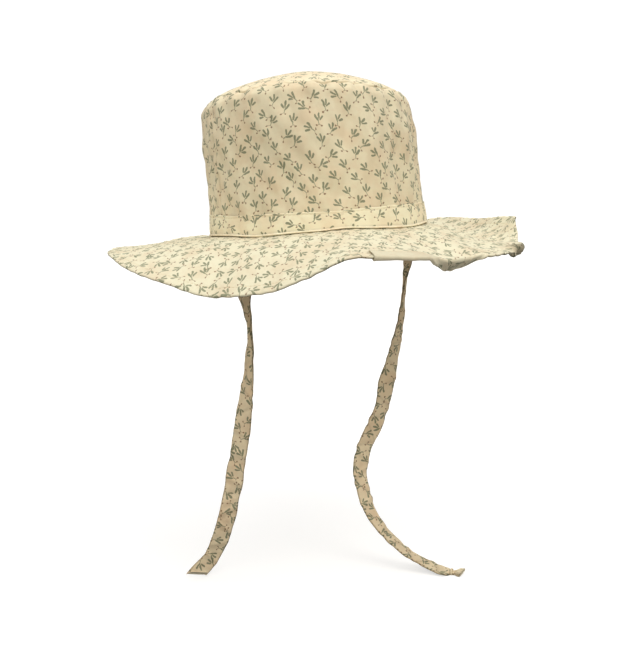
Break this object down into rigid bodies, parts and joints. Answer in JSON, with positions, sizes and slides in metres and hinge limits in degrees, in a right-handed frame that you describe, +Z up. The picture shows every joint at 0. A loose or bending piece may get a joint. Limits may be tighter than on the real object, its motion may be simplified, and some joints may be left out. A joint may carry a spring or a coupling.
{
  "type": "sun hat",
  "caption": "Child's soft cotton sun hat with a round crown, a sewn band, a wide wavy brim, a plain label folded over the brim's edge and two long cloth ties.",
  "frame": {"origin": "centre of the head opening, in the plane of the seam between crown and brim", "axes": "+Z up along the crown's axis, -Y the front of the hat with the label, +X the wearer's left"},
  "size_m": [0.3058, 0.3067, 0.3608],
  "materials": {
    "printed_cotton": "matte plain weave, cream with a small leaf sprig print",
    "tie_cotton": "matte plain weave, cream with a small leaf sprig print",
    "label_cotton": "matte plain tape, bare"
  },
  "bodies": {
    "root": {"crown_tip": "printed_cotton", "crown_side": "printed_cotton", "hat_band": "printed_cotton", "brim": "printed_cotton", "label": "label_cotton", "tie_left": "tie_cotton", "tie_right": "tie_cotton"}
  },
  "joints": []
}
